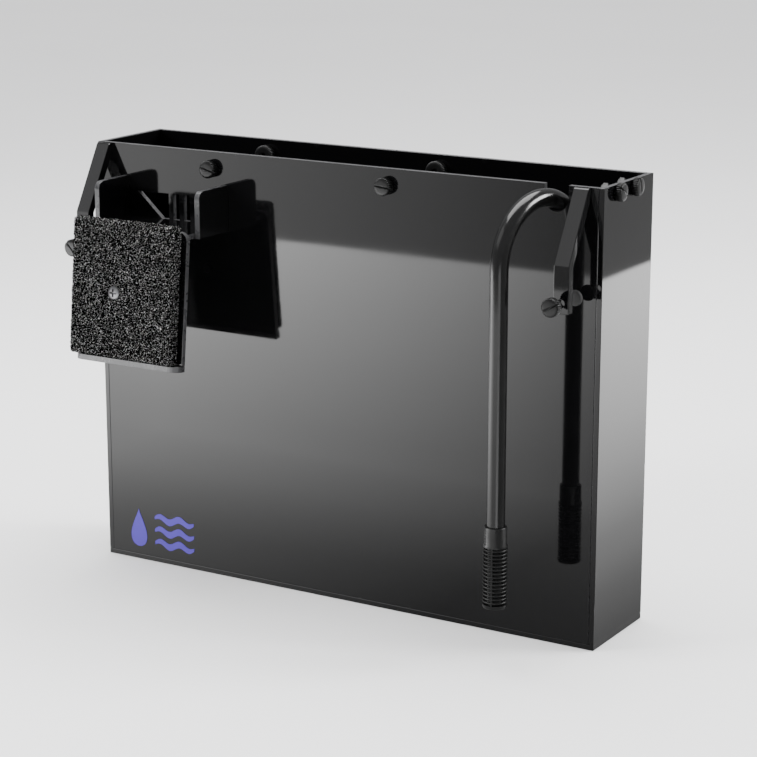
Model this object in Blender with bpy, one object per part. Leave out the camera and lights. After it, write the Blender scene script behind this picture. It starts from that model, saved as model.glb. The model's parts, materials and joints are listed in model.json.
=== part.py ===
"""Hang-on-tank power filter: an open-topped flat acrylic box that hangs on an aquarium's glass, with an
intake tube and strainer on the right, an outlet chute with a foam-faced diffuser on the left, and the
pump and filter media inside. Metres, +Z up. The origin is the centre of the base's underside, the front
panel faces -Y, towards the tank."""

import math

import bmesh
import bpy
from mathutils import Matrix, Vector

# Driving dimensions
WIDTH = 0.525
DEPTH = 0.0975
HEIGHT = 0.406
SHEET = 0.005  # acrylic sheet of the box, cheeks, baffles and diffuser
GAP = 0.0003  # between pieces that touch

FRONT = -DEPTH / 2
BACK = DEPTH / 2
INNER_X = WIDTH / 2 - SHEET
INNER_Y = DEPTH / 2 - SHEET
FLOOR = SHEET + GAP

# Thumbscrews: slotted, knurled nylon, quarter-inch thread
THREAD_R = 0.0031
THREAD_HOLE_R = 0.0034
HEAD_R = 0.0081
HEAD_H = 0.0085
SLOT_W = 0.0016
SLOT_DEPTH = 0.0022

# Cross ties that keep the long walls from bowing
TIE_X = {"left": -0.1333, "right": 0.0526}
TIE_Z = 0.3904
TIE_BOSS_R = 0.0102
TIE_BOSS_H = 0.0075

# Hanger straps and their clamp screws
STRAP_X = {"left": (-0.260, -0.246), "right": (0.2365, 0.2505)}
STRAP_T = 0.008
STRAP_REACH = 0.0385
STRAP_BEND_Z = 0.3455
STRAP_HEEL_Z = 0.3955
STRAP_END_Z = 0.305
STRAP_TOP_Z = 0.4055
CLAMP_Z = 0.314
CLAMP_HEAD_REACH = {"left": 0.058, "right": 0.060}
PAD_REACH = 0.0145
PAD_T = 0.0045
PAD_R = 0.007

# Outlet chute and its opening in the front panel
CHEEK_X = {"left": -0.2327, "right": -0.1205}
CHEEK_T = 0.0055
CHEEK_REACH = 0.0455
CHEEK_TOP = 0.3767
CHEEK_CORNER = 0.007
CHUTE_Z = 0.339
CHUTE_REACH = 0.0615
OPENING_TOP = 0.363
OPENING_LEFT_TOP = -0.217
OPENING_LEFT_LOW = -0.190
OPENING_RIGHT = -0.129
BAR_W = 0.005
BAR_PITCH = 0.012
FIRST_BAR = -0.182
BAR_COUNT = 4

# Diffuser: plate, shelf and foam pad, leaning out at the bottom
DIFFUSER_X = (-0.230, -0.1136)
DIFFUSER_REACH = 0.062
DIFFUSER_LEAN = math.radians(6)
DIFFUSER_RISE = 0.004
DIFFUSER_DROP = 0.1165
DIFFUSER_CORNER = 0.009
SHELF_T = 0.0055
SHELF_DEPTH = 0.0135
FOAM_T = 0.014
FOAM_RISE = 0.010
FOAM_SCREW_X = -0.1857
FOAM_SCREW_DROP = 0.058

# Intake tube: a half circle over the front panel's notch
TUBE_R = 0.0079
TUBE_BORE_R = 0.0062
TUBE_OUT = Vector((0.2026, -0.1195))
TUBE_IN = Vector((0.2232, -0.0115))
TUBE_APEX_Z = 0.3965
TUBE_END_Z = 0.110
TUBE_INNER_END_Z = 0.262
NOTCH_X = 0.2185
NOTCH_R = 0.0113
NOTCH_BOTTOM = 0.3828
STRAINER_TOP = 0.1238
COLLAR_END = 0.1072
STRAINER_END = 0.0510
COLLAR_R = 0.0098
STRAINER_R = 0.0106
STRAINER_GROOVES = 16

# Tube bracket on the right wall
WALL_SCREW_Y = {"front": -0.0225, "rear": 0.010}
WALL_SCREW_Z = 0.3998
WALL_HEAD_H = 0.0063
BRACKET_T = 0.003
BRACKET_Y = (-0.034, 0.022)
BRACKET_LEDGE_Z = 0.318
NUT_FLATS = 0.0111
NUT_H = 0.0055

# Inside the box
OUTLET_BAFFLE_X = -0.120
INLET_BAFFLE_X = 0.058
BASKET_X = (-0.058, 0.041)
BASKET_Y = 0.040
BASKET_Z = (0.0056, 0.255)
BASKET_WALL = 0.0025
SPONGE_X = (-0.112, -0.062)
SPONGE_Z = (0.0056, 0.300)

# Pump
PUMP = Vector((0.205, 0.0))
PUMP_FOOT_TOP = 0.0155
PUMP_TOP = 0.085
PUMP_HALF = 0.026
WELL_R = 0.0105
WELL_FLOOR = 0.031
VOLUTE_R = 0.0245
VOLUTE_H = 0.022
BARB_TOP = 0.140
HOSE_BORE_R = 0.0084
HOSE_R = 0.0112

FINISHES = {
    "acrylic": ((0.012, 0.012, 0.013), 0.06, 0.0),
    "nylon": ((0.016, 0.016, 0.017), 0.42, 0.0),
    "pvc": ((0.014, 0.014, 0.015), 0.16, 0.0),
    "foam": ((0.030, 0.030, 0.032), 0.95, 0.0),
    "rubber": ((0.022, 0.022, 0.022), 0.70, 0.0),
    "steel": ((0.55, 0.55, 0.56), 0.30, 1.0),
    "ceramic": ((0.72, 0.68, 0.60), 0.80, 0.0),
    "magnet": ((0.08, 0.08, 0.085), 0.45, 0.0),
    "plastic": ((0.035, 0.036, 0.040), 0.45, 0.0),
    "hose": ((0.10, 0.10, 0.105), 0.35, 0.0),
}


# Making solids

def clear_scene():
    for found in list(bpy.data.objects):
        bpy.data.objects.remove(found, do_unlink=True)


def material(finish):
    made = bpy.data.materials.get(finish)
    if made is None:
        colour, roughness, metallic = FINISHES[finish]
        made = bpy.data.materials.new(finish)
        made.use_nodes = True
        shader = made.node_tree.nodes["Principled BSDF"]
        shader.inputs["Base Color"].default_value = (*colour, 1)
        shader.inputs["Roughness"].default_value = roughness
        shader.inputs["Metallic"].default_value = metallic
    return made


def add_object(name, points, faces, finish, origin=(0, 0, 0), smooth=False):
    """An object whose mesh has these world points, with its own origin on its axis."""
    origin = Vector(origin)
    mesh = bpy.data.meshes.new(name)
    mesh.from_pydata([Vector(p) - origin for p in points], [], faces)
    work = bmesh.new()
    work.from_mesh(mesh)
    bmesh.ops.recalc_face_normals(work, faces=work.faces)
    work.to_mesh(mesh)
    work.free()
    mesh.materials.append(material(finish))
    if smooth:
        mesh.shade_smooth()
        mesh.set_sharp_from_angle(angle=math.radians(35))
    made = bpy.data.objects.new(name, mesh)
    made.location = origin
    bpy.context.scene.collection.objects.link(made)
    return made


def to_world(u, v, w, axis):
    """A point with w along the axis, and u and v along the other two in X, Y, Z order."""
    if axis == "x":
        return (w, u, v)
    if axis == "y":
        return (u, w, v)
    return (u, v, w)


def prism(name, outline, axis, low, high, finish, origin=(0, 0, 0)):
    """A flat outline extruded along an axis."""
    n = len(outline)
    points = [to_world(u, v, w, axis) for w in (low, high) for u, v in outline]
    faces = [list(range(n)), list(range(n, 2 * n))]
    faces += [[i, (i + 1) % n, n + (i + 1) % n, n + i] for i in range(n)]
    return add_object(name, points, faces, finish, origin)


def block(name, low, high, finish, origin=(0, 0, 0)):
    outline = [(low[0], low[1]), (high[0], low[1]), (high[0], high[1]), (low[0], high[1])]
    return prism(name, outline, "z", low[2], high[2], finish, origin)


def turned(name, profile, axis, centre, finish, sides=24, closed=False, origin=None):
    """A profile of (radius, place) turned about an axis. A closed profile goes round a ring; an open one
    starts and ends on the axis. The centre is the other two coordinates."""
    points = []
    rings = []
    for radius, w in profile:
        if radius == 0:
            points.append(to_world(centre[0], centre[1], w, axis))
            rings.append([len(points) - 1] * sides)
            continue
        rings.append(list(range(len(points), len(points) + sides)))
        for i in range(sides):
            turn = 2 * math.pi * i / sides
            u = centre[0] + radius * math.cos(turn)
            v = centre[1] + radius * math.sin(turn)
            points.append(to_world(u, v, w, axis))
    faces = []
    pairs = list(zip(rings, rings[1:] + rings[:1] if closed else rings[1:]))
    for near, far in pairs:
        for i in range(sides):
            j = (i + 1) % sides
            face = list(dict.fromkeys([near[i], near[j], far[j], far[i]]))
            if len(face) > 2:
                faces.append(face)
    if origin is None:
        origin = to_world(centre[0], centre[1], profile[0][1], axis)
    return add_object(name, points, faces, finish, origin, smooth=True)


def hollow_tube(name, path, outer, bore, finish, sides=16, origin=(0, 0, 0)):
    """A pipe of constant wall along a path of points."""
    steps = len(path)
    tangents = []
    for i in range(steps):
        ahead = path[min(i + 1, steps - 1)]
        behind = path[max(i - 1, 0)]
        tangents.append((ahead - behind).normalized())
    side = tangents[0].orthogonal().normalized()
    points = []
    for radius in (outer, bore):
        across = side
        for place, tangent in zip(path, tangents):
            across = (across - tangent * across.dot(tangent)).normalized()
            other = tangent.cross(across)
            for i in range(sides):
                turn = 2 * math.pi * i / sides
                points.append(place + radius * (across * math.cos(turn) + other * math.sin(turn)))
    faces = []
    total = steps * sides
    for shell in (0, total):
        for s in range(steps - 1):
            for i in range(sides):
                j = (i + 1) % sides
                a = shell + s * sides
                faces.append([a + i, a + j, a + sides + j, a + sides + i])
    for end in (0, (steps - 1) * sides):
        for i in range(sides):
            j = (i + 1) % sides
            faces.append([end + i, end + j, total + end + j, total + end + i])
    return add_object(name, points, faces, finish, origin, smooth=True)


def arc(centre, radius, start, end, steps):
    """Points on an arc, from start to end in degrees."""
    made = []
    for i in range(steps + 1):
        turn = math.radians(start + (end - start) * i / steps)
        made.append((centre[0] + radius * math.cos(turn), centre[1] + radius * math.sin(turn)))
    return made


def boolean(target, tool, operation="DIFFERENCE"):
    """Cuts a hidden helper out of a piece, or joins it on."""
    tool.hide_render = True
    tool.display_type = "WIRE"
    change = target.modifiers.new(operation.title(), "BOOLEAN")
    change.operation = operation
    change.solver = "EXACT"
    change.object = tool


def hole(target, name, axis, centre, radius, low, high, sides=20):
    profile = [(0, low), (radius, low), (radius, high), (0, high)]
    boolean(target, turned("cut_" + name, profile, axis, centre, "acrylic", sides))


# The box

def front_panel():
    """Full-width front wall with the tube's notch, the barred outlet opening and two screw holes."""
    low, high = -INNER_X + GAP, INNER_X - GAP
    bottom = FLOOR
    outline = [(low, bottom), (high, bottom), (high, HEIGHT), (NOTCH_X + NOTCH_R, HEIGHT)]
    outline += arc((NOTCH_X, NOTCH_BOTTOM + NOTCH_R), NOTCH_R, 0, -180, 12)
    outline += [(NOTCH_X - NOTCH_R, HEIGHT), (low, HEIGHT)]
    panel = prism("front_panel", outline, "y", FRONT, FRONT + SHEET, "acrylic")
    starts = [OPENING_LEFT_LOW] + [FIRST_BAR + BAR_W + i * BAR_PITCH for i in range(BAR_COUNT)]
    ends = [FIRST_BAR + i * BAR_PITCH for i in range(BAR_COUNT)] + [OPENING_RIGHT]
    for i, (start, end) in enumerate(zip(starts, ends)):
        top_start = OPENING_LEFT_TOP if i == 0 else start
        slot = [(start, CHUTE_Z), (end, CHUTE_Z), (end, OPENING_TOP), (top_start, OPENING_TOP)]
        name = f"cut_outlet_slot_{i + 1}"
        boolean(panel, prism(name, slot, "y", FRONT - SHEET, FRONT + 2 * SHEET, "acrylic"))
    for side, x in TIE_X.items():
        span = (FRONT - SHEET, FRONT + 2 * SHEET)
        hole(panel, f"{side}_tie_hole", "y", (x, TIE_Z), THREAD_HOLE_R, *span)


def box_walls():
    """The base, which shows as a strip under the walls, and the other three walls."""
    block("base_panel", (-WIDTH / 2, FRONT, 0), (WIDTH / 2, BACK, SHEET), "acrylic")
    width = INNER_X - GAP
    block("back_panel", (-width, BACK - SHEET, FLOOR), (width, BACK, HEIGHT), "acrylic")
    low, high = (-WIDTH / 2, FRONT, FLOOR), (-INNER_X, BACK, HEIGHT)
    block("left_side_panel", low, high, "acrylic")
    low, high = (INNER_X, FRONT, FLOOR), (WIDTH / 2, BACK, HEIGHT)
    right = block("right_side_panel", low, high, "acrylic")
    for end, y in WALL_SCREW_Y.items():
        span = (INNER_X - SHEET, WIDTH / 2 + SHEET)
        hole(right, f"{end}_wall_hole", "x", (y, WALL_SCREW_Z), THREAD_HOLE_R, *span)


def baffles():
    """Cross walls with water slots: high ones towards the outlet, low ones from the pump's chamber."""
    slot_levels = {
        "outlet_baffle": (OUTLET_BAFFLE_X, 0.352, [0.230, 0.265, 0.300]),
        "inlet_baffle": (INLET_BAFFLE_X, 0.372, [0.020, 0.055, 0.090]),
    }
    half = INNER_Y - GAP
    for name, (x, top, levels) in slot_levels.items():
        wall = block(name, (x, -half, FLOOR), (x + SHEET, half, top), "acrylic")
        for i, z in enumerate(levels):
            low, high = (x - SHEET, -0.030, z), (x + 2 * SHEET, 0.030, z + 0.008)
            boolean(wall, block(f"cut_{name}_{i + 1}", low, high, "acrylic"))


# Thumbscrews, ties and straps

def thumbscrew(name, axis, centre, face, base, tip, finish="nylon"):
    """A slotted head from its outer face to its base, and a plain shank to its tip."""
    way = 1 if base > face else -1
    edge = way * 0.0008
    profile = [
        (0, face),
        (HEAD_R - 0.0008, face),
        (HEAD_R, face + edge),
        (HEAD_R, base - edge),
        (HEAD_R - 0.0008, base),
        (THREAD_R, base),
        (THREAD_R, tip),
        (0, tip),
    ]
    screw = turned(name, profile, axis, centre, finish, sides=28)
    low = min(face - way * SLOT_DEPTH, face + way * SLOT_DEPTH)
    high = max(face - way * SLOT_DEPTH, face + way * SLOT_DEPTH)
    u, v = centre
    reach = HEAD_R * 1.5
    outline = [
        (u - reach, v - SLOT_W / 2),
        (u + reach, v - SLOT_W / 2),
        (u + reach, v + SLOT_W / 2),
        (u - reach, v + SLOT_W / 2),
    ]
    boolean(screw, prism(f"cut_{name}_slot", outline, axis, low, high, finish))
    return screw


def cross_ties():
    """A long screw through the front wall into a round boss on the back wall."""
    for side, x in TIE_X.items():
        face = FRONT - GAP - HEAD_H
        tip = BACK - SHEET - 0.0012
        thumbscrew(f"{side}_tie_screw", "y", (x, TIE_Z), face, FRONT - GAP, tip)
        back = BACK - SHEET - GAP
        near = back - TIE_BOSS_H
        profile = [
            (THREAD_HOLE_R, near),
            (TIE_BOSS_R - 0.0007, near),
            (TIE_BOSS_R, near + 0.0007),
            (TIE_BOSS_R, back),
            (THREAD_HOLE_R, back),
        ]
        turned(f"{side}_tie_boss", profile, "y", (x, TIE_Z), "nylon", sides=28, closed=True)


def hanger_straps():
    """Bent straps: bonded to the front wall at the top, sloping out, then hanging down."""
    wall = FRONT - GAP
    out = FRONT - STRAP_REACH
    rear = out + STRAP_T
    outline = [
        (wall, STRAP_TOP_Z),
        (wall - 0.0034, STRAP_TOP_Z),
        (wall - 0.0046, STRAP_TOP_Z - 0.0008),
        (wall - 0.0054, STRAP_TOP_Z - 0.0022),
        (out, STRAP_BEND_Z),
        (out, STRAP_END_Z),
        (rear, STRAP_END_Z),
        (rear, STRAP_BEND_Z - 0.0022),
        (wall, STRAP_HEEL_Z),
    ]
    for side, (low, high) in STRAP_X.items():
        strap = prism(f"{side}_hanger_strap", outline, "x", low, high, "acrylic")
        x = (low + high) / 2
        span = (out - STRAP_T, out + 2 * STRAP_T)
        hole(strap, f"{side}_strap_hole", "y", (x, CLAMP_Z), THREAD_HOLE_R, *span)


def clamps():
    """The screw through each strap's leg, and the pad on its tip that grips the glass."""
    for side, (low, high) in STRAP_X.items():
        x = (low + high) / 2
        face = FRONT - CLAMP_HEAD_REACH[side]
        tip = FRONT - PAD_REACH - GAP
        thumbscrew(f"{side}_clamp_screw", "y", (x, CLAMP_Z), face, face + HEAD_H, tip)
        back = FRONT - PAD_REACH + PAD_T
        profile = [
            (0, FRONT - PAD_REACH),
            (PAD_R - 0.001, FRONT - PAD_REACH),
            (PAD_R, FRONT - PAD_REACH + 0.001),
            (PAD_R, back - 0.0006),
            (PAD_R - 0.0006, back),
            (0, back),
        ]
        turned(f"{side}_clamp_pad", profile, "y", (x, CLAMP_Z), "rubber")


# Outlet

def outlet_chute():
    """Two cheeks and a floor that carry the water over the glass."""
    near = FRONT - GAP
    out = FRONT - CHEEK_REACH
    low = CHUTE_Z - SHEET
    outline = [(near, low), (out, low)]
    outline += arc((out + CHEEK_CORNER, CHEEK_TOP - CHEEK_CORNER), CHEEK_CORNER, 180, 90, 6)
    outline += [(near, CHEEK_TOP)]
    for side, x in CHEEK_X.items():
        prism(f"outlet_{side}_cheek", outline, "x", x, x + CHEEK_T, "acrylic")
    low_x = CHEEK_X["left"] + CHEEK_T + GAP
    high_x = CHEEK_X["right"] - GAP
    low = (low_x, FRONT - CHUTE_REACH, CHUTE_Z - SHEET)
    block("outlet_chute_floor", low, (high_x, near, CHUTE_Z), "acrylic")


def diffuser():
    """Plate, shelf, foam and screw, built upright at the plate's rear top edge and then leant."""
    frame = bpy.data.objects.new("diffuser_frame", None)
    frame.location = (0, FRONT - DIFFUSER_REACH, CHUTE_Z)
    frame.rotation_euler = (-DIFFUSER_LEAN, 0, 0)
    bpy.context.scene.collection.objects.link(frame)
    low, high = DIFFUSER_X
    r = DIFFUSER_CORNER
    outline = [(low, -DIFFUSER_DROP), (high, -DIFFUSER_DROP)]
    outline += arc((high - r, DIFFUSER_RISE - r), r, 0, 90, 6)
    outline += arc((low + r, DIFFUSER_RISE - r), r, 90, 180, 6)
    plate = prism("diffuser_plate", outline, "y", -SHEET, 0, "acrylic")

    r = 0.010
    top = -DIFFUSER_DROP - GAP
    outline = [(high, 0), (low, 0)]
    outline += arc((low + r, -SHELF_DEPTH + r), r, 180, 270, 6)
    outline += arc((high - r, -SHELF_DEPTH + r), r, 270, 360, 6)
    shelf = prism("diffuser_shelf", outline, "z", top - SHELF_T, top, "acrylic")

    rear = -SHEET - 0.0005
    front = rear - FOAM_T
    low_z = top + 0.0008
    outline = [(rear, low_z), (rear, FOAM_RISE - 0.005)]
    outline += arc((rear - 0.005, FOAM_RISE - 0.005), 0.005, 0, 90, 4)
    outline += arc((front + 0.007, FOAM_RISE - 0.007), 0.007, 90, 180, 4)
    outline += arc((front + 0.004, low_z + 0.004), 0.004, 180, 270, 3)
    foam = prism("foam_pad", outline, "x", low - 0.0015, high - 0.0035, "foam")

    place = (FOAM_SCREW_X, -FOAM_SCREW_DROP)
    hole(plate, "plate_screw_hole", "y", place, 0.0024, -2 * SHEET, SHEET)
    hole(foam, "foam_screw_hole", "y", place, 0.0080, front - SHEET, rear + SHEET)
    head = front + 0.0035
    profile = [
        (0, head),
        (0.0045, head + 0.0003),
        (0.0064, head + 0.0014),
        (0.0064, head + 0.0022),
        (0.0021, head + 0.0022),
        (0.0021, 0.007),
        (0, 0.007),
    ]
    screw = turned("foam_screw", profile, "y", place, "steel")
    u, v = place
    for i, (wide, tall) in enumerate(((0.0034, 0.0006), (0.0006, 0.0034))):
        low_cut, high_cut = (u - wide, head - 0.002, v - tall), (u + wide, head + 0.0016, v + tall)
        boolean(screw, block(f"cut_foam_screw_{i + 1}", low_cut, high_cut, "steel"))
    outline = arc(place, NUT_FLATS * 0.4, 0, 300, 5)
    nut = prism("foam_screw_nut", outline, "y", GAP, 0.0035, "steel")
    hole(nut, "foam_nut_hole", "y", place, 0.0024, -SHEET, 2 * SHEET)
    for piece in (plate, shelf, foam, screw, nut):
        lean(piece, frame)
        for change in piece.modifiers:
            lean(change.object, frame)


def lean(piece, frame):
    """Parents a piece to the diffuser's frame, keeping its place in that frame."""
    piece.parent = frame


# Intake

def intake_path():
    """Up from the strainer, over the notch in a half circle, and down inside the box."""
    span = TUBE_IN - TUBE_OUT
    radius = span.length / 2
    middle = (TUBE_IN + TUBE_OUT) / 2
    along = span.normalized()
    spring = TUBE_APEX_Z - radius
    path = [Vector((*TUBE_OUT, TUBE_END_Z)), Vector((*TUBE_OUT, (TUBE_END_Z + spring) / 2))]
    steps = 18
    for i in range(steps + 1):
        turn = math.pi * (1 - i / steps)
        place = middle + along * radius * math.cos(turn)
        path.append(Vector((*place, spring + radius * math.sin(turn))))
    path.append(Vector((*TUBE_IN, TUBE_INNER_END_Z)))
    return path


def intake():
    origin = (*TUBE_OUT, TUBE_END_Z)
    hollow_tube("intake_tube", intake_path(), TUBE_R, TUBE_BORE_R, "pvc", 16, origin)
    bore = TUBE_R + GAP
    pitch = (COLLAR_END - STRAINER_END - 0.003) / STRAINER_GROOVES
    profile = [(bore, STRAINER_TOP), (COLLAR_R, STRAINER_TOP), (COLLAR_R, COLLAR_END)]
    for i in range(STRAINER_GROOVES):
        top = COLLAR_END - i * pitch
        profile.append((STRAINER_R, top - 0.0004))
        profile.append((STRAINER_R, top - pitch * 0.55))
        profile.append((STRAINER_R - 0.0018, top - pitch * 0.55))
        profile.append((STRAINER_R - 0.0018, top - pitch))
    profile += [(STRAINER_R, STRAINER_END + 0.0025), (STRAINER_R - 0.001, STRAINER_END)]
    profile += [(0, STRAINER_END), (0, STRAINER_END + 0.003), (bore, STRAINER_END + 0.003)]
    turned("strainer", profile, "z", TUBE_OUT, "nylon", 18, closed=True)


def tube_bracket():
    """A plate on the right wall with a ledge round the tube's inner leg, two screws and two nuts."""
    high_x = INNER_X - GAP
    low_x = high_x - BRACKET_T
    z = BRACKET_LEDGE_Z
    outline = [
        (high_x, z),
        (high_x, HEIGHT - 0.0015),
        (low_x, HEIGHT - 0.0015),
        (low_x, z + 0.004),
        (TUBE_IN.x - 0.013, z + 0.004),
        (TUBE_IN.x - 0.013, z),
    ]
    bracket = prism("tube_bracket", outline, "y", *BRACKET_Y, "acrylic")
    hole(bracket, "tube_guide", "z", TUBE_IN, TUBE_R + 0.0005, z - 0.01, z + 0.012, sides=24)
    face = WIDTH / 2 + GAP + WALL_HEAD_H
    for end, y in WALL_SCREW_Y.items():
        centre = (y, WALL_SCREW_Z)
        hole(bracket, f"{end}_bracket_hole", "x", centre, THREAD_HOLE_R, low_x - 0.01, high_x + 0.01)
        tip = low_x - NUT_H - 0.002
        thumbscrew(f"{end}_wall_screw", "x", centre, face, WIDTH / 2 + GAP, tip)
        far = low_x - GAP
        corners = NUT_FLATS / math.sqrt(3)
        nut = prism(f"{end}_wall_nut", arc(centre, corners, 30, 330, 5), "x", far - NUT_H, far, "nylon")
        hole(nut, f"{end}_nut_hole", "x", centre, THREAD_HOLE_R, far - 2 * NUT_H, far + NUT_H)


# Filter media

def media():
    """The coarse sponge, and the slotted basket with its ceramic media."""
    half = INNER_Y - 0.0025
    low, high = (SPONGE_X[0], -half, SPONGE_Z[0]), (SPONGE_X[1], half, SPONGE_Z[1])
    block("filter_sponge", low, high, "foam")
    x0, x1 = BASKET_X
    z0, z1 = BASKET_Z
    wall = BASKET_WALL
    basket = block("media_basket", (x0, -BASKET_Y, z0), (x1, BASKET_Y, z1), "plastic")
    inner = block(
        "cut_basket_inside",
        (x0 + wall, -BASKET_Y + wall, z0 + wall),
        (x1 - wall, BASKET_Y - wall, z1 + wall),
        "plastic",
    )
    boolean(basket, inner)
    for i in range(9):
        z = z0 + 0.014 + i * 0.022
        low, high = (x0 - wall, -0.031, z), (x1 + wall, 0.031, z + 0.0035)
        boolean(basket, block(f"cut_basket_slot_{i + 1}", low, high, "plastic"))
    low = (x0 + wall + 0.001, -BASKET_Y + wall + 0.001, z0 + wall + 0.0005)
    high = (x1 - wall - 0.001, BASKET_Y - wall - 0.001, z1 - 0.030)
    block("ceramic_media", low, high, "ceramic")


# Pump

def pump():
    """A small upright pump: motor below, impeller chamber above, inlet on top, outlet to the left."""
    x, y = PUMP
    half = PUMP_HALF
    corner = 0.008
    outline = arc((x + half - corner, y + half - corner), corner, 0, 90, 4)
    outline += arc((x - half + corner, y + half - corner), corner, 90, 180, 4)
    outline += arc((x - half + corner, y - half + corner), corner, 180, 270, 4)
    outline += arc((x + half - corner, y - half + corner), corner, 270, 360, 4)
    housing = prism("pump_housing", outline, "z", PUMP_FOOT_TOP, PUMP_TOP, "plastic", (x, y, 0))
    hole(housing, "motor_well", "z", PUMP, WELL_R, WELL_FLOOR, PUMP_TOP + 0.01, sides=28)
    hole(housing, "gland_seat", "x", (y, 0.070), 0.0045, x - half - 0.01, x - half + 0.005)
    for i, (sx, sy) in enumerate(((-1, -1), (1, -1), (1, 1), (-1, 1))):
        centre = (x + sx * 0.017, y + sy * 0.017)
        profile = [
            (0, FLOOR + GAP),
            (0.0085, FLOOR + GAP),
            (0.0080, FLOOR + 0.0018),
            (0.0035, FLOOR + 0.0060),
            (0.0035, PUMP_FOOT_TOP - GAP),
            (0, PUMP_FOOT_TOP - GAP),
        ]
        turned(f"pump_suction_foot_{i + 1}", profile, "z", centre, "rubber", 18)

    low = PUMP_TOP + GAP
    high = low + VOLUTE_H
    profile = [
        (0.0205, low),
        (VOLUTE_R, low),
        (VOLUTE_R, high - 0.002),
        (VOLUTE_R - 0.002, high),
        (0.0082, high),
        (0.0082, BARB_TOP - 0.004),
        (0.0072, BARB_TOP),
        (0.0055, BARB_TOP),
        (0.0055, high - 0.004),
        (0.0205, high - 0.004),
    ]
    cover = turned("pump_impeller_cover", profile, "z", PUMP, "plastic", 28, closed=True)
    bar = block(
        "join_bearing_bar",
        (x - 0.0075, y - 0.0025, high - 0.0035),
        (x + 0.0075, y + 0.0025, high - 0.0010),
        "plastic",
    )
    boolean(cover, bar, "UNION")
    z = low + 0.010
    spout = turned(
        "join_outlet_spout",
        [(0, x - 0.045), (0.0075, x - 0.045), (0.0075, x - 0.0215), (0, x - 0.0215)],
        "x",
        (y, z),
        "plastic",
        20,
    )
    boolean(cover, spout, "UNION")
    hole(cover, "outlet_bore", "x", (y, z), 0.0055, x - 0.050, x - 0.015)

    shaft_low, shaft_high = WELL_FLOOR + GAP, high - 0.004 - GAP
    profile = [(0, shaft_low), (0.0015, shaft_low), (0.0015, shaft_high), (0, shaft_high)]
    turned("pump_shaft", profile, "z", PUMP, "ceramic", 16)
    bush_h = 0.003
    bushes = {"lower": (shaft_low, 0.0095), "upper": (shaft_high - bush_h, 0.0040)}
    for place, (z, radius) in bushes.items():
        ring = [(0.00155, z), (radius, z), (radius, z + bush_h), (0.00155, z + bush_h)]
        turned(f"{place}_shaft_bush", ring, "z", PUMP, "rubber", 20, closed=True)
    start = shaft_low + bush_h + GAP
    end = shaft_high - bush_h - GAP
    ring = [
        (0.00155, start),
        (0.0090, start),
        (0.0090, PUMP_TOP - 0.004),
        (0.0055, PUMP_TOP - 0.002),
        (0.0055, end),
        (0.00155, end),
    ]
    rotor = turned("pump_impeller", ring, "z", PUMP, "magnet", 24, closed=True)
    blades = []
    count = 6
    for i in range(count):
        turn = 2 * math.pi * i / count
        for radius, offset in ((0.0046, -0.5), (0.0172, -0.035), (0.0172, 0.035), (0.0046, 0.5)):
            angle = turn + offset
            blades.append((x + radius * math.cos(angle), y + radius * math.sin(angle)))
    low_blade, high_blade = PUMP_TOP + 0.002, end - 0.001
    star = prism("join_impeller_blades", blades, "z", low_blade, high_blade, "magnet")
    boolean(rotor, star, "UNION")
    hole(rotor, "rotor_bore", "z", PUMP, 0.00155, start - 0.01, end + 0.01, sides=24)

    profile = [
        (0, x - half - 0.014),
        (0.0030, x - half - 0.014),
        (0.0042, x - half - 0.002),
        (0.0042, x - half + 0.0045),
        (0, x - half + 0.0045),
    ]
    turned("pump_cable_gland", profile, "x", (y, 0.070), "rubber", 18)


def suction_hose():
    """The soft hose from the tube's inner leg down to the pump's inlet barb."""
    top = TUBE_INNER_END_Z + 0.014
    bottom = BARB_TOP - 0.016
    straight = 0.018
    path = []
    steps = 14
    for i in range(steps + 1):
        t = i / steps
        z = top - straight + (bottom + straight - top + straight) * t
        ease = t * t * (3 - 2 * t)
        place = TUBE_IN + (PUMP - TUBE_IN) * ease
        path.append(Vector((*place, z)))
    path.insert(0, Vector((*TUBE_IN, top)))
    path.append(Vector((*PUMP, bottom)))
    hollow_tube("suction_hose", path, HOSE_R, HOSE_BORE_R, "hose", 16)


clear_scene()
box_walls()
front_panel()
baffles()
cross_ties()
hanger_straps()
clamps()
outlet_chute()
diffuser()
intake()
tube_bracket()
media()
pump()
suction_hose()
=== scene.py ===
"""Looks for the hang-on-tank power filter: gloss black acrylic, knurled nylon thumbscrews, a bent intake
tube with a slotted strainer, an open-cell foam diffuser and the media and pump inside."""

import json
import math

import bmesh
import bpy
import numpy as np
from mathutils import Matrix, Vector, noise


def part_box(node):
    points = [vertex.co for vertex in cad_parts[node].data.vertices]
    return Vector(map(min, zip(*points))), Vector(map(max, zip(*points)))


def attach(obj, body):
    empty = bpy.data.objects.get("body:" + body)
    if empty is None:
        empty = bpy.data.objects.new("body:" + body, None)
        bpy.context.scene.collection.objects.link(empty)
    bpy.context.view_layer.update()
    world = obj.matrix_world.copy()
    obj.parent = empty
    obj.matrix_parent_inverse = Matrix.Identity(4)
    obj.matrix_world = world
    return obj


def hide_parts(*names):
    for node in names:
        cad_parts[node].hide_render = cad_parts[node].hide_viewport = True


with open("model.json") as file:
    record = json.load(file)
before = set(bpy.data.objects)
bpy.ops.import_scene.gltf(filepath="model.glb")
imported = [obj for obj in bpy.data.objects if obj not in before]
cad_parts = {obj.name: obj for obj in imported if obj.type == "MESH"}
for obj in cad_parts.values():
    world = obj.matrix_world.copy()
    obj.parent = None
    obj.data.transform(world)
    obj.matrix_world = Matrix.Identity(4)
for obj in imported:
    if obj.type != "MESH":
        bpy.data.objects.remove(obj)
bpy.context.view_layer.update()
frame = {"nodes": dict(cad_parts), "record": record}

BOX = "filter_box"
LEAN = math.radians(6)  # the diffuser's, out at its foot

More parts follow.
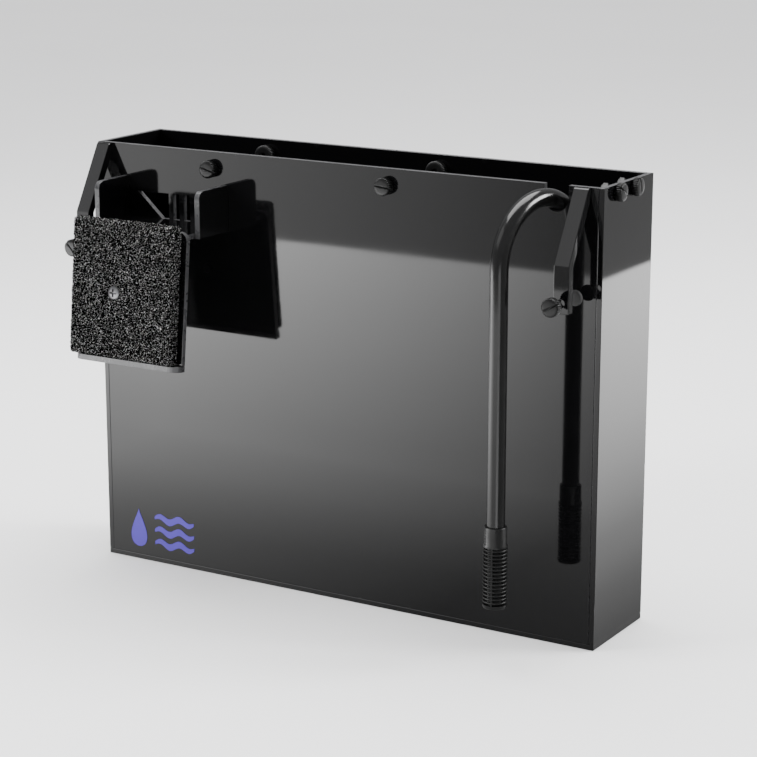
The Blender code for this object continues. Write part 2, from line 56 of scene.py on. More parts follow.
PITCH = 0.00127
SHANK_R = 0.0031
SHANK_CLEARANCE = 0.0002
FACE_HEAD_H = 0.0085
WALL_HEAD_H = 0.0063
WALL_NUT = (0.0111, 0.0055)  # across flats, height
FOAM_NUT = (0.0085, 0.0032)
FOAM_SHANK_R = 0.0021

TUBE_R = 0.0079
TUBE_BORE_R = 0.0062
HOSE_R = 0.0109
HOSE_BORE_R = 0.0084
HOSE_GRIP = 0.014  # how far the tube goes into the hose

CAMERA_PLACE = (1.076, -1.7642, 0.7233)
CAMERA_WAY = (-0.4994, 0.83082, -0.24566)
LENS = 110.0
SENSOR = 36


# Shading

class Shader:
    """A material's node tree, built by adding nodes and joining sockets."""

    def __init__(self, name):
        self.material = bpy.data.materials.new(name)
        self.material.use_nodes = True
        self.tree = self.material.node_tree
        self.surface = self.tree.nodes["Principled BSDF"]

    def add(self, kind, **inputs):
        node = self.tree.nodes.new(kind)
        for name, value in inputs.items():
            self.put(node, name.replace("_", " "), value)
        return node

    def put(self, node, name, value):
        if isinstance(value, bpy.types.NodeSocket):
            self.tree.links.new(value, node.inputs[name])
        else:
            node.inputs[name].default_value = value

    def place(self, scale=(1, 1, 1)):
        """Object coordinates, stretched."""
        coords = self.add("ShaderNodeTexCoord").outputs["Object"]
        return self.add("ShaderNodeMapping", Vector=coords, Scale=scale).outputs["Vector"]

    def noise(self, scale, detail, stretch=(1, 1, 1)):
        node = self.add("ShaderNodeTexNoise", Vector=self.place(stretch), Scale=scale, Detail=detail)
        return node.outputs["Fac"]

    def cells(self, scale, feature="F1"):
        """Distance to the middle of the nearest cell, or to its edge."""
        node = self.add("ShaderNodeTexVoronoi", Vector=self.place(), Scale=scale)
        node.feature = feature
        return node.outputs["Distance"]

    def combine(self, operation, first, second):
        node = self.add("ShaderNodeMath")
        node.operation = operation
        self.put(node, 0, first)
        self.put(node, 1, second)
        return node.outputs[0]

    def along(self, way):
        """How far the object coordinates lie in this direction."""
        node = self.add("ShaderNodeVectorMath")
        node.operation = "DOT_PRODUCT"
        self.put(node, 0, self.add("ShaderNodeTexCoord").outputs["Object"])
        self.put(node, 1, tuple(way))
        return node.outputs["Value"]

    def span(self, value, low, high, start=0.0, end=1.0):
        node = self.add("ShaderNodeMapRange", Value=value)
        node.inputs["From Min"].default_value = low
        node.inputs["From Max"].default_value = high
        node.inputs["To Min"].default_value = start
        node.inputs["To Max"].default_value = end
        return node.outputs["Result"]

    def blend(self, share, first, second):
        node = self.add("ShaderNodeMix")
        node.data_type = "RGBA"
        self.put(node, 0, share)
        node.inputs[6].default_value = (*first, 1)
        node.inputs[7].default_value = (*second, 1)
        return node.outputs[2]

    def bump(self, height, distance, strength):
        node = self.add("ShaderNodeBump", Height=height, Distance=distance, Strength=strength)
        return node.outputs["Normal"]

    def finish(self, **values):
        for name, value in values.items():
            self.put(self.surface, name.replace("_", " "), value)
        return self.material


def acrylic():
    """Polished black sheet: a deep gloss with faint waviness, fine wipe marks and a few dust specks."""
    s = Shader("gloss black acrylic")
    haze = s.span(s.noise(9, 4), 0.35, 0.7, 0.035, 0.075)
    marks = s.span(s.noise(900, 2, (1, 1, 0.02)), 0.6, 0.8, 0.0, 0.03)
    dust = s.span(s.cells(420), 0.02, 0.05, 1.0, 0.0)
    speck = s.combine("MULTIPLY", dust, s.span(s.noise(60, 2), 0.62, 0.68))
    colour = s.blend(speck, (0.002, 0.002, 0.0022), (0.04, 0.04, 0.04))
    wave = s.bump(s.noise(5, 1), 0.0006, 0.35)
    return s.finish(Base_Color=colour, Roughness=s.combine("ADD", haze, marks), Normal=wave, IOR=1.49)


def satin(name, dark, light, rough, grain=1400.0, depth=0.00006, metal=0.0, gloss=0.5):
    """A moulded or turned surface: slight tone and sheen changes over a fine grain."""
    s = Shader(name)
    tone = s.noise(45, 4)
    colour = s.blend(s.span(tone, 0.3, 0.7), dark, light)
    spread = s.span(s.noise(160, 3), 0.3, 0.7, rough[0], rough[1])
    relief = s.bump(s.noise(grain, 2), depth, 0.6)
    s.finish(Base_Color=colour, Roughness=spread, Normal=relief)
    return s.finish(Metallic=metal, Specular_IOR_Level=gloss)


def open_foam(name, cell, pit, lit_strut_glint):
    """Reticulated foam: dark pits, and struts of which only some catch the light: a random few get the
    near-white colour, a painted highlight for their glints.
    """
    s = Shader(name)
    web = s.span(s.cells(cell, "DISTANCE_TO_EDGE"), 0.02, 0.14, 1.0, 0.0)
    lit = s.combine("MULTIPLY", web, s.span(s.noise(cell * 1.3, 1), 0.55, 0.62))
    # painted highlight: the glint colour goes only on the struts the noise picks, and everything else
    # takes the dark pit colour
    colour = s.blend(lit, (pit,) * 3, lit_strut_glint)
    relief = s.bump(web, 0.0008, 1.0)
    return s.finish(Base_Color=colour, Roughness=0.3, Normal=relief, Specular_IOR_Level=lit)


def porous_ceramic():
    """Buff ceramic, pitted all over; the pits are also painted darker, a painted shade in the pores."""
    s = Shader("porous ceramic")
    pores_with_painted_shade = s.span(s.cells(1100), 0.1, 0.4)
    # painted shade: the colour goes darker exactly where the pores are dented
    colour = s.blend(pores_with_painted_shade, (0.30, 0.26, 0.20), (0.62, 0.57, 0.47))
    return s.finish(Base_Color=colour, Roughness=0.9, Normal=s.bump(pores_with_painted_shade, 0.0003, 0.8))


def ink(name, colour):
    """Screen printing: a flat colour with a slightly uneven sheen."""
    s = Shader(name)
    spread = s.span(s.noise(30, 3), 0.3, 0.7, 0.425, 0.575)
    return s.finish(Base_Color=(*colour, 1), Roughness=spread, Specular_IOR_Level=0.2)


LOOKS = {
    "acrylic": acrylic(),
    "nylon": satin("black nylon", (0.003,) * 3, (0.006,) * 3, (0.26, 0.38), gloss=0.36),
    "pvc": satin("black tube", (0.002,) * 3, (0.004,) * 3, (0.14, 0.22), 500),
    "rubber": satin("soft rubber", (0.012,) * 3, (0.022,) * 3, (0.6, 0.8)),
    "steel": satin(
        "stainless steel", (0.12, 0.12, 0.125), (0.18, 0.18, 0.185), (0.38, 0.5), 900, 0.00003, 1.0
    ),
    "ceramic": porous_ceramic(),
    "magnet": satin("coated magnet", (0.05, 0.05, 0.055), (0.09, 0.09, 0.095), (0.35, 0.5)),
    "plastic": satin("moulded plastic", (0.016, 0.017, 0.020), (0.026, 0.027, 0.031), (0.34, 0.5)),
    "hose": satin("soft hose", (0.03, 0.03, 0.032), (0.05, 0.05, 0.053), (0.3, 0.42), 300),
    # the last colour of each foam is the painted glint on its few lit struts
    "foam": open_foam("diffuser foam", 700, 0.001, (1.0, 1.0, 1.0)),
    "sponge": open_foam("filter sponge", 450, 0.002, (0.3, 0.3, 0.31)),
    "cut": satin("sawn acrylic edge", (0.022, 0.022, 0.023), (0.05, 0.05, 0.052), (0.22, 0.38), 700),
    "print": ink("purple print", (0.065, 0.040, 0.33)),
}
SLOTS = {entry["node"]: entry["material_slot"] for entry in frame["record"]["subparts"]}


# Meshes

def turns(sides):
    """Angles evenly round a circle."""
    return np.arange(sides) * 2 * math.pi / sides


def show(name, data):
    """An object with this mesh, light or camera in the scene."""
    made = bpy.data.objects.new(name, data)
    bpy.context.scene.collection.objects.link(made)
    return made


def make(name, points, faces, look, smooth_angle=35):
    """A mesh object that is smooth except over sharp edges."""
    mesh = bpy.data.meshes.new(name)
    mesh.from_pydata([tuple(p) for p in points], [], faces)
    work = bmesh.new()
    work.from_mesh(mesh)
    bmesh.ops.recalc_face_normals(work, faces=work.faces)
    work.to_mesh(mesh)
    work.free()
    mesh.materials.append(LOOKS[look])
    mesh.shade_smooth()
    mesh.set_sharp_from_angle(angle=math.radians(smooth_angle))
    return show(name, mesh)


def band(first, second, sides):
    """Faces between two rings of points that start at these places."""
    faces = []
    for i in range(sides):
        after = (i + 1) % sides
        faces.append([first + i, first + after, second + after, second + i])
    return faces


def weave(count, sides, closed=False):
    """Faces over a stack of rings, which may close into a loop."""
    faces = []
    for row in range(count if closed else count - 1):
        faces += band(row * sides, (row + 1) % count * sides, sides)
    return faces


def capped(count, sides):
    """Faces over a stack of rings with both ends filled."""
    last = (count - 1) * sides
    return weave(count, sides) + [list(range(sides)), list(range(last, last + sides))]


def ring(angles, radii, place):
    """One ring of points at this height."""
    return np.stack([radii * np.cos(angles), radii * np.sin(angles), np.full(len(angles), place)], 1)


def lathe(profile, sides, shape=None, closed=False):
    """Points and faces of (radius, height) turned about Z. shape(angles, radius) gives radii."""
    angles = turns(sides)
    rows = [
        ring(angles, np.full(sides, radius) if shape is None else shape(angles, radius), place)
        for radius, place in profile
    ]
    faces = weave(len(rows), sides, True) if closed else capped(len(rows), sides)
    return np.concatenate(rows), faces


def join(parts):
    """One list of points and faces from several."""
    points = []
    faces = []
    start = 0
    for some, more in parts:
        points.append(np.asarray(some, float))
        faces += [[start + i for i in face] for face in more]
        start += len(some)
    return np.concatenate(points), faces


def turn_to(way):
    """The matrix that turns +Z to this direction."""
    return Vector(way).to_track_quat("Z", "Y").to_matrix().to_4x4()


def stand_for(piece, node, body):
    """Ties a piece to the CAD node that it replaces."""
    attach(piece, body)
    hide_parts(node)


def put(piece, centre, way, node, body):
    """Places a piece built about +Z, and ties it to the CAD node that it replaces."""
    piece.matrix_world = Matrix.Translation(centre) @ turn_to(way)
    stand_for(piece, node, body)


def size_of(node):
    """A node's lowest and highest corners and its middle."""
    low, high = (Vector(corner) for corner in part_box(node))
    return low, high, (low + high) / 2


def sweep(path, radii, sides):
    """Points of a skin round a path, with a radius for each point of it."""
    tangents = np.gradient(path, axis=0)
    tangents /= np.linalg.norm(tangents, axis=1)[:, None]
    side = np.cross(tangents[0], (0.3, 0.9, 0.1))
    rows = []
    angles = turns(sides)
    for place, tangent, radius in zip(path, tangents, radii):
        side = side - tangent * side.dot(tangent)
        side /= np.linalg.norm(side)
        other = np.cross(tangent, side)
        around = np.outer(np.cos(angles), side) + np.outer(np.sin(angles), other)
        rows.append(place + radius * around)
    return np.concatenate(rows)


def pipe(name, path, outer, bore, look, sides):
    """A pipe with a rounded lip at each end, from per-point outer radii and one bore."""
    lip = 0.0006
    outer = np.concatenate([[outer[0] - lip], outer, [outer[-1] - lip]])
    start, end = path[0] - path[1], path[-1] - path[-2]
    first = path[0] + start / np.linalg.norm(start) * lip * 0.6
    last = path[-1] + end / np.linalg.norm(end) * lip * 0.6
    path = np.concatenate([[first], path, [last]])
    count = len(path)
    points = np.concatenate([sweep(path, outer, sides), sweep(path, np.full(count, bore), sides)])
    inside = count * sides
    faces = weave(count, sides)
    faces += [[inside + i for i in face] for face in weave(count, sides)]
    for row in (0, (count - 1) * sides):
        faces += band(row, inside + row, sides)
    return make(name, points, faces, look)


# Fasteners

def knurl(count, depth):
    """A shape for lathe: straight ridges round the rim of a head or boss."""
    def shape(angles, radius):
        ridge = np.abs(np.sin(angles * count / 2)) ** 0.7
        return radius - depth * (1 - ridge) * (radius > 0.0068)
    return shape


def thread(low, high, radius, sides, depth):
    """A helical thread between two heights, as one closed skin."""
    steps = int((high - low) / PITCH * 8)
    angles = turns(sides)
    rows = []
    for i in range(steps + 1):
        z = low + (high - low) * i / steps
        phase = (z / PITCH + angles / (2 * math.pi)) % 1
        tooth = 1 - np.abs(phase * 2 - 1)
        fade = min(1, (z - low) / PITCH + 0.2, (high - z) / PITCH + 0.2)
        rows.append(ring(angles, radius - depth * (1 - tooth * fade), z))
    return np.concatenate(rows), capped(steps + 1, sides)


def thumbscrew(node, way, head_height, slot_turn):
    """A slotted, knurled head and a threaded shank. way points from the head's face to the tip."""
    low, high, centre = size_of(node)
    way = Vector(way)
    length = abs((high - low).dot(way))
    radius = (high.z - low.z) / 2
    edge = 0.0009
    ridges = 26
    profile = [
        (radius * 0.30, 0.0),
        (radius * 0.62, 0.00005),
        (radius - edge - 0.0006, 0.0002),
        (radius - edge, 0.0004),
        (radius - 0.0002, edge),
        (radius, edge + 0.0004),
        (radius, head_height - edge - 0.0003),
        (radius - 0.0002, head_height - edge),
        (radius - edge, head_height - 0.0002),
        (radius - edge - 0.0006, head_height),
        (SHANK_R, head_height),
    ]
    head = lathe(profile, ridges * 10, knurl(ridges, 0.0008))
    shank = thread(head_height - 0.0004, length, SHANK_R, 20, 0.00045)
    screw = make(node + "_detail", *join([head, shank]), "nylon", 40)
    cutter = make(node + "_slot_cutter", *slab(radius * 1.2, 0.0008, 0.0020), "nylon")
    cutter.hide_render = True
    cutter.hide_viewport = True
    cutter.parent = screw
    cutter.rotation_euler.z = slot_turn
    change = screw.modifiers.new("slot", "BOOLEAN")
    change.operation = "DIFFERENCE"
    change.object = cutter
    put(screw, centre - way * length / 2, way, node, node)


def slab(x, y, z):
    """A box of these half sizes round the origin."""
    points = [(sx * x, sy * y, sz * z) for sx in (-1, 1) for sy in (-1, 1) for sz in (-1, 1)]
    faces = [[0, 1, 3, 2], [4, 6, 7, 5], [0, 4, 5, 1], [2, 3, 7, 6], [0, 2, 6, 4], [1, 5, 7, 3]]
    return points, faces


def tie_boss(node):
    """A knurled round nut on the back wall."""
    low, high, centre = size_of(node)
    radius = (high.x - low.x) / 2
    length = high.y - low.y
    ridges = 40
    profile = [
        (SHANK_R + SHANK_CLEARANCE, 0.0),
        (radius * 0.8, 0.0),
        (radius - 0.0008, 0.0003),
        (radius, 0.0012),
        (radius, length - 0.0010),
        (radius - 0.0008, length),
        (SHANK_R + SHANK_CLEARANCE, length),
    ]
    boss = lathe(profile, ridges * 8, knurl(ridges, 0.0005), True)
    made = make(node + "_detail", *boss, "nylon", 40)
    put(made, Vector((centre.x, low.y, centre.z)), (0, 1, 0), node, BOX)


def hex_nut(node, way, size, bore, look):
    """A chamfered hexagon nut. size is (across flats, height)."""
    half_flats, length = size[0] / 2, size[1]
    corner = half_flats / math.cos(math.pi / 6)

    def hexagon(angles, radius):
        if radius < half_flats * 0.8:
            return np.full(len(angles), radius)
        turned = (angles + math.pi / 6) % (math.pi / 3) - math.pi / 6
        flat = half_flats / np.cos(turned)
        return np.minimum(flat, radius)

    profile = [
        (bore, 0.0006),
        (bore + 0.0006, 0.0),
        (half_flats * 0.97, 0.0),
        (corner, 0.0009),
        (corner, length - 0.0009),
        (half_flats * 0.97, length),
        (bore + 0.0006, length),
        (bore, length - 0.0006),
    ]
    made = make(node + "_detail", *lathe(profile, 96, hexagon, True), look, 25)
    put(made, size_of(node)[2] - Vector(way) * length / 2, way, node, BOX)


def clamp_pad(node):
    """A soft moulded disc: a thick rounded rim and shallow rings on the face that meets the glass."""
    low, high, centre = size_of(node)
    radius = (high.x - low.x) / 2
    length = high.y - low.y
    rim_r, rim_t, grooves = 0.0016, 0.0022, 12
    profile = [(0.0034, 0.0), (radius - rim_r, 0.0)]
    for i in range(7):
        turn = -math.pi / 2 + math.pi * i / 6
        profile.append((radius - rim_r + rim_r * math.cos(turn), rim_t + rim_t * math.sin(turn)))
    for i in range(grooves):
        profile.append(((radius - 0.0020) * (1 - i / grooves), length - 0.00022 * (i % 2)))
    made = make(node + "_detail", *lathe(profile, 72), "rubber")
    put(made, Vector((centre.x, low.y, centre.z)), (0, 1, 0), node, node)


def leaned(node):
    """Centre, thickness and height of a slab that leans by LEAN, from its upright box."""
    low, high, centre = size_of(node)
    y, z = high.y - low.y, high.z - low.z
    c, s = math.cos(LEAN), math.sin(LEAN)
    spread = c * c - s * s
    return centre, (y * c - z * s) / spread, (z * c - y * s) / spread, high.x - low.x


def cross_head(radius, rim):
    """Points and faces of a domed head with a cross recess. rim is the height of its widest ring."""
    rings, sides = 26, 96
    angles = turns(sides)
    rows = []
    for i in range(rings):
        r = radius * (i + 0.5) / rings
        row = ring(angles, r, 0.0016 * (1 - math.sqrt(1 - (r / radius) ** 2)))
        x, y = np.abs(row[:, 0]), np.abs(row[:, 1])
        narrow = np.clip((0.00085 - np.minimum(x, y)) / 0.0003, 0, 1)
        short = np.clip((0.0037 - np.maximum(x, y)) / 0.0005, 0, 1)
        row[:, 2] += 0.0017 * narrow * short
        rows.append(row)
    for r, z in ((radius, rim), (radius - 0.0004, rim + 0.0006), (FOAM_SHANK_R, rim + 0.0006)):
        rows.append(ring(angles, r, z))
    return np.concatenate(rows), capped(len(rows), sides)


def foam_screw():
    """The screw that pins the foam, and the nut behind the plate."""
    centre, length, _, _ = leaned("foam_screw")
    way = Vector((0, math.cos(LEAN), -math.sin(LEAN)))
    rim = 0.0022
    head = cross_head(0.0064, rim)
    shank = thread(rim, length, FOAM_SHANK_R, 16, 0.0003)
    made = make("foam_screw_detail", *join([head, shank]), "steel", 40)
    put(made, centre - way * length / 2, way, "foam_screw", BOX)
    hex_nut("foam_screw_nut", way, FOAM_NUT, 0.0022, "steel")


# Tube, strainer and hose

def intake_tube():
    """A smooth bend over the notch between two straight legs. It returns the inner leg's place."""
    low, high, _ = size_of("intake_tube")
    out = np.array((low.x + TUBE_R, low.y + TUBE_R, 0))
    inner = np.array((high.x - TUBE_R, high.y - TUBE_R, 0))
    span = inner - out
    radius = np.linalg.norm(span) / 2
    middle = (out + inner) / 2
    along = span / (2 * radius)
    spring = high.z - TUBE_R - radius
    up = np.array((0, 0, 1.0))
    inner_end = size_of("suction_hose")[1].z - HOSE_GRIP
    path = [out + up * z for z in np.linspace(low.z, spring, 24)[:-1]]
    for t in np.linspace(math.pi, 0, 64):
        path.append(middle + up * spring + radius * (along * math.cos(t) + up * math.sin(t)))
    path += [inner + up * z for z in np.linspace(spring, inner_end, 8)[1:]]
    path = np.array(path)
    tube = pipe("intake_tube_detail", path, np.full(len(path), TUBE_R), TUBE_BORE_R, "pvc", 56)
    stand_for(tube, "intake_tube", "intake_tube")
    return inner


def strainer():
    """A collar on the tube's end and a cage of rings on upright ribs, closed by a rounded cap."""
    low, high, centre = size_of("strainer")
    rings, ribs, sides = 16, 4, 72
    first_rib = -1.388
    cage_r, collar_r, inner_r = 0.0106, 0.0098, 0.0080
    collar_end = high.z - 0.0166
    cage_low = low.z + 0.0034
    height = collar_end - cage_low
    collar = [
        (inner_r, high.z),
        (0.0094, high.z),
        (collar_r, high.z - 0.0006),
        (collar_r, collar_end + 0.0016),
        (cage_r, collar_end + 0.0004),
        (cage_r, collar_end - 0.0012),
        (inner_r, collar_end - 0.0012),
    ]
    parts = [lathe(collar, sides, None, True)]
    for i in range(1, rings):
        z = collar_end - i * height / rings
        bead = [(0.0096 + 0.0010 * math.cos(t), z + 0.00085 * math.sin(t)) for t in turns(8)]
        parts.append(lathe(bead, sides, None, True))
    cap = [
        (0.0001, low.z + 0.0002),
        (0.0070, low.z),
        (collar_r, low.z + 0.0008),
        (cage_r, low.z + 0.0022),
        (cage_r, cage_low + 0.0006),
        (0.0001, cage_low + 0.0006),
    ]
    parts.append(lathe(cap, sides))
    points, faces = slab(0.0011, 0.0007, height / 2 + 0.0012)
    up = Matrix.Translation((0, 0, cage_low + height / 2))
    for turn in turns(ribs):
        place = up @ Matrix.Rotation(first_rib + turn, 4, "Z")
        rib = [place @ (Vector(p) + Vector((0.0091, 0, 0))) for p in points]
        parts.append((rib, faces))
    core = [(0.0068, cage_low), (0.0068, collar_end), (0.0060, collar_end), (0.0060, cage_low)]
    parts.append(lathe(core, 48, None, True))
    made = make("strainer_detail", *join(parts), "nylon", 40)
    put(made, Vector((centre.x, centre.y, 0)), (0, 0, 1), "strainer", "strainer")


def suction_hose(inner):
    """Soft ribbed hose that slips over the tube and the pump's barb."""
    low, high, _ = size_of("suction_hose")
    pump = size_of("pump_housing")[2]
    straight, rib = 0.018, 0.0003
    top = high.z - straight
    drop = low.z + straight - top
    x, y, _ = inner
    path = [(x, y, high.z - 0.001)]
    for t in np.linspace(0, 1, 150):
        ease = t * t * (3 - 2 * t)
        path.append((x + (pump.x - x) * ease, y + (pump.y - y) * ease, top + drop * t))
    path.append((pump.x, pump.y, low.z + 0.001))
    outer = HOSE_R + rib * np.sin(np.arange(len(path)) * 0.9)
    outer[:3] = HOSE_R + rib
    outer[-3:] = HOSE_R + rib
    hose = pipe("suction_hose_detail", np.array(path), outer, HOSE_BORE_R, "hose", 40)
    stand_for(hose, "suction_hose", BOX)


# Foam and media

def foam_block(name, size, spacing, corner, cell, relief, look, count, dimple=None):
    """A rounded block whose skin is broken up into cells. dimple is (x, z, radius, depth)."""
    half = np.array(size) / 2
    inner = half - corner
    points = {}
    faces = []
    for axis in range(3):
        u, v = (axis + 1) % 3, (axis + 2) % 3
        nu = max(2, round(size[u] / spacing))
        nv = max(2, round(size[v] / spacing))
        for sign in (-1, 1):
            grid = []
            for i in range(nu + 1):
                row = []
                for j in range(nv + 1):
                    p = [0.0, 0.0, 0.0]
                    p[axis] = sign * half[axis]
                    p[u] = -half[u] + size[u] * i / nu
                    p[v] = -half[v] + size[v] * j / nv
                    key = tuple(round(c, 6) for c in p)
                    row.append(points.setdefault(key, len(points)))
                grid.append(row)
            for i in range(nu):
                for j in range(nv):
                    quad = [grid[i][j], grid[i + 1][j], grid[i + 1][j + 1], grid[i][j + 1]]
                    faces.append(quad if sign > 0 else quad[::-1])
    skin = np.array(list(points))
    core = np.clip(skin, -inner, inner)
    normal = skin - core
    normal /= np.linalg.norm(normal, axis=1)[:, None]
    skin = core + normal * corner
    if dimple:
        x, z, radius, depth = dimple
        away = np.hypot(skin[:, 0] - x, skin[:, 2] - z)
        front = (skin[:, 1] < 0) & (away < radius)
        skin[front, 1] += depth * np.clip((radius - away[front]) / (radius * 0.35), 0, 1)
    moved = []
    for p, n in zip(skin, normal):
        near = noise.voronoi(Vector(p * cell))[0]
        pit = min(1.0, (near[1] - near[0]) * 1.6)
        fuzz = noise.noise(Vector(p * cell * 2.3))
        moved.append(p + n * relief * (fuzz * 0.9 - pit * 0.8 + 0.25))
    body = (np.array(moved), faces)
    return make(name, *join([body, struts(skin, normal, cell, count)]), look, 180)


def struts(skin, normal, cell, count):
    """Short three-sided struts that stand out of a foam's skin at random."""
    chance = np.random.RandomState(5)
    chosen = chance.choice(len(skin), count, replace=False)
    way = normal[chosen] * 0.9 + chance.normal(size=(count, 3)) * 0.7
    way /= np.linalg.norm(way, axis=1)[:, None]
    side = np.cross(way, chance.normal(size=(count, 3)))
    side /= np.linalg.norm(side, axis=1)[:, None]
    other = np.cross(way, side)
    length = chance.uniform(0.8, 1.7, (count, 1)) / cell
    root = skin[chosen] - normal[chosen] * 0.25 / cell - way * length * 0.3
    thick = chance.uniform(0.00012, 0.00024, (count, 1))
    rows = []
    for far, share in ((0, 1.0), (1, 0.7)):
        for turn in turns(3):
            around = side * math.cos(turn) + other * math.sin(turn)
            rows.append(root + way * length * far + thick * share * around)
    points = np.stack(rows, 1).reshape(-1, 3)
    faces = []
    for i in range(0, 6 * count, 6):
        faces += [[i, i + 1, i + 4, i + 3], [i + 1, i + 2, i + 5, i + 4], [i + 2, i, i + 3, i + 5]]
        faces += [[i + 2, i + 1, i], [i + 3, i + 4, i + 5]]
    return points, faces


def foam_pad():
    """The diffuser's foam, drawn in where its screw holds it."""
    centre, thick, tall, wide = leaned("foam_pad")
    screw = leaned("foam_screw")[0]
    dimple = (screw.x - centre.x, (screw.z - centre.z) / math.cos(LEAN) + 0.0022, 0.0105, 0.0050)
    size = (wide - 0.001, thick - 0.001, tall - 0.001)
    pad = foam_block("foam_pad_detail", size, 0.0008, 0.0035, 620, 0.0016, "foam", 26000, dimple)
    pad.matrix_world = Matrix.Translation(centre) @ Matrix.Rotation(-LEAN, 4, "X")
    stand_for(pad, "foam_pad", BOX)


def filter_sponge():
    """The block of coarse foam that lifts out."""
    low, high, centre = size_of("filter_sponge")
    size = tuple(high - low - Vector((0.001, 0.001, 0.001)))
    pad = foam_block("filter_sponge_detail", size, 0.0020, 0.003, 450, 0.0010, "sponge", 9000)
    pad.matrix_world = Matrix.Translation(centre)
    stand_for(pad, "filter_sponge", "filter_sponge")


def ceramic_rings():
    """Loose short tubes of ceramic, heaped in the basket."""
    low, high = (np.array(corner) for corner in size_of("ceramic_media")[:2])
    chance = np.random.RandomState(11)
    radius, bore_r, length, edge = 0.0058, 0.0024, 0.0112, 0.0005
    room, stray = 0.0128, 0.002
    profile = [(bore_r, 0), (radius - edge, 0), (radius, edge)]
    profile += [(radius, length - edge), (radius - edge, length), (bore_r, length)]
    points, faces = lathe(profile, 18, None, True)
    points = points - np.array((0, 0, length / 2))
    reach = math.hypot(radius, length / 2)
    parts = []
    counts = [int(side / room) for side in high - low]
    for spot in np.ndindex(*counts):
        place = low + (np.array(spot) + 0.5) / counts * (high - low)
        place = place + chance.uniform(-stray, stray, 3)
        place = np.clip(place, low + reach, high - reach)
        tip = Vector(chance.normal(size=3)).normalized()
        turned = np.array(turn_to(tip).to_3x3())
        parts.append((points @ turned.T + place, faces))
    made = make("ceramic_media_detail", *join(parts), "ceramic", 40)
    stand_for(made, "ceramic_media", "media_basket")


# Flat pieces

BEVELS = {"acrylic": 0.0005, "plastic": 0.0006, "rubber": 0.0004, "magnet": 0.0003, "ceramic": 0.0002}
BARE_EDGES = {
    "outlet_left_cheek",
    "outlet_right_cheek",
    "outlet_chute_floor",
    "diffuser_plate",
    "diffuser_shelf",
    "front_panel",
}


def is_sheet(node):
    """Whether a node is a flat sheet of acrylic whose sawn edges can show."""
    return SLOTS[node] == "acrylic" and "strap" not in node and "bracket" not in node


def dress(node, width):
    """Gives a CAD node its look and an eased edge."""
    piece = frame["nodes"][node]
    piece.data.materials.clear()
    piece.data.materials.append(LOOKS[SLOTS[node]])
    for stored in ("custom_normal", "sharp_edge", "sharp_face"):
        if stored in piece.data.attributes:
            piece.data.attributes.remove(piece.data.attributes[stored])
    piece.data.shade_flat()
    if is_sheet(node):
        piece.data.materials.append(LOOKS["cut"])
        low, high, _ = size_of(node)
        thin = min(range(3), key=lambda axis: high[axis] - low[axis])
        for face in piece.data.polygons:
            # Sheets in BARE_EDGES take the lighter cut look on all their edges; the other sheets take it
            # only on edges that face up, a painted highlight along their tops
            sawn_edge_or_top_highlight = abs(face.normal[thin]) < 0.7 and (node in BARE_EDGES or face.normal.z > 0.5)
            face.material_index = int(sawn_edge_or_top_highlight)
    weld = piece.modifiers.new("weld", "WELD")
    weld.merge_threshold = 0.00001
    flat = piece.modifiers.new("flat", "DECIMATE")
    flat.decimate_type = "DISSOLVE"
    flat.angle_limit = math.radians(1)
    bevel = piece.modifiers.new("edge", "BEVEL")
    bevel.width = width
    bevel.segments = 3
    bevel.limit_method = "ANGLE"
    bevel.angle_limit = math.radians(30)
    bevel.use_clamp_overlap = True


def emblem():
    """A generic mark printed on the front wall: a drop and three ripples."""
    front = size_of("front_panel")[0].y
    drop_x, drop_z, drop_half_w, drop_half_h = -0.226, 0.032, 0.0135, 0.019
    drop = []
    for t in turns(48):
        pinch = math.sin(t / 2) ** 1.6
        drop.append((drop_x + drop_half_w * math.sin(t) * pinch, drop_z + drop_half_h * math.cos(t)))
    outlines = [drop]
    ripple_x, ripple_z, ripple_w, ripple_gap = -0.207, 0.0445, 0.046, 0.0125
    swell, half_thick, steps = 0.0022, 0.0034, 40
    for row in range(3):
        top = []
        low = []
        for i in range(steps + 1):
            x = ripple_x + ripple_w * i / steps
            z = ripple_z - row * ripple_gap + swell * math.sin(4 * math.pi * i / steps)
            thick = half_thick * math.sin(math.pi * (i + 1.5) / (steps + 3)) ** 0.4
            top.append((x, z + thick))
            low.append((x, z - thick))
        outlines.append(top + low[::-1])
    parts = []
    for outline in outlines:
        points = [(x, y, z) for y in (front - 0.0003, front - 0.00005) for x, z in outline]
        parts.append((points, capped(2, len(outline))))
    mark = make("printed_emblem", *join(parts), "print", 40)
    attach(mark, BOX)


# Stage

def area(name, place, target, size, power):
    """A rectangle of light that faces its target."""
    light = bpy.data.lights.new(name, "AREA")
    light.shape = "RECTANGLE"
    light.size, light.size_y = size
    light.energy = power
    made = show(name, light)
    made.location = place
    made.rotation_euler = (Vector(target) - Vector(place)).to_track_quat("-Z", "Y").to_euler()
    return made


